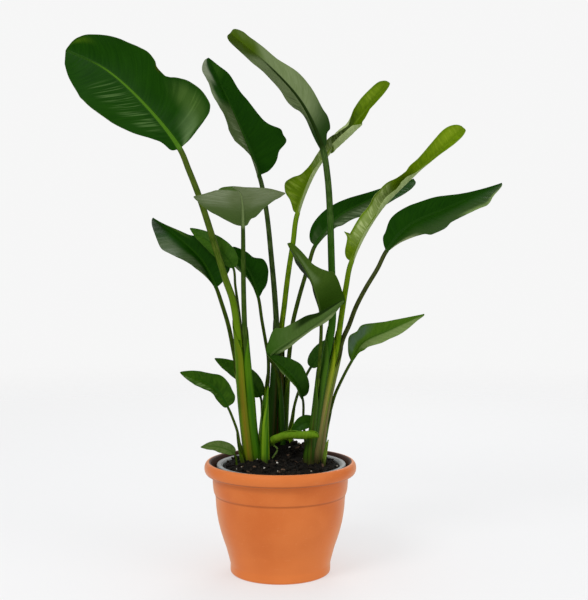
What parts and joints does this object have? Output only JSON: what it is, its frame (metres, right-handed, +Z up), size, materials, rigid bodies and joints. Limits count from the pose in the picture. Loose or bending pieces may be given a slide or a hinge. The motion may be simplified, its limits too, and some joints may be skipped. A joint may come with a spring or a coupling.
{
  "type": "potted plant",
  "caption": "Potted bird of paradise: three fans of clasping stalks with broad upright leaves, in soil in a nursery pot inside a plain terracotta-coloured outer pot.",
  "frame": {"origin": "centre of the outer pot's flat base, where it stands on the floor", "axes": "+Z up along the pot's axis and the plant, +X to the right and +Y away from the viewer of the picture"},
  "size_m": [0.8723, 0.3722, 1.0664],
  "materials": {
    "outer_pot": "terracotta-coloured plastic with a soft satin sheen",
    "nursery_pot": "dark grey nursery plastic, slightly dusty",
    "soil": "dark damp potting soil with bark pieces and white perlite",
    "sheath": "smooth green leaf sheath, yellowish and reddish-brown bands",
    "leaf": "leathery deep green leaf, satin upper face, duller grey-green underside",
    "new_leaf": "young leaf, light yellow-green with a satin sheen"
  },
  "bodies": {
    "root": {"outer_pot": "outer_pot", "nursery_pot": "nursery_pot", "soil": "soil", "fan_left_sheaths": "sheath", "fan_middle_sheaths": "sheath", "fan_right_sheaths": "sheath", "leaf_left_crown": "leaf", "leaf_left_forward": "leaf", "leaf_left_middle": "leaf", "leaf_left_back": "leaf", "leaf_left_low": "leaf", "leaf_left_seedling": "leaf", "leaf_middle_crown": "leaf", "leaf_middle_new": "new_leaf", "leaf_middle_back": "leaf", "leaf_middle_right": "leaf", "leaf_middle_front": "leaf", "leaf_middle_low_back": "leaf", "leaf_middle_low_right": "leaf", "leaf_right_crown": "leaf", "leaf_right_new": "new_leaf", "leaf_right_outer": "leaf", "leaf_right_front": "leaf", "leaf_right_low_front": "leaf", "leaf_right_low_outer": "leaf", "leaf_right_seedling": "leaf", "shoot_front": "new_leaf"}
  },
  "joints": []
}
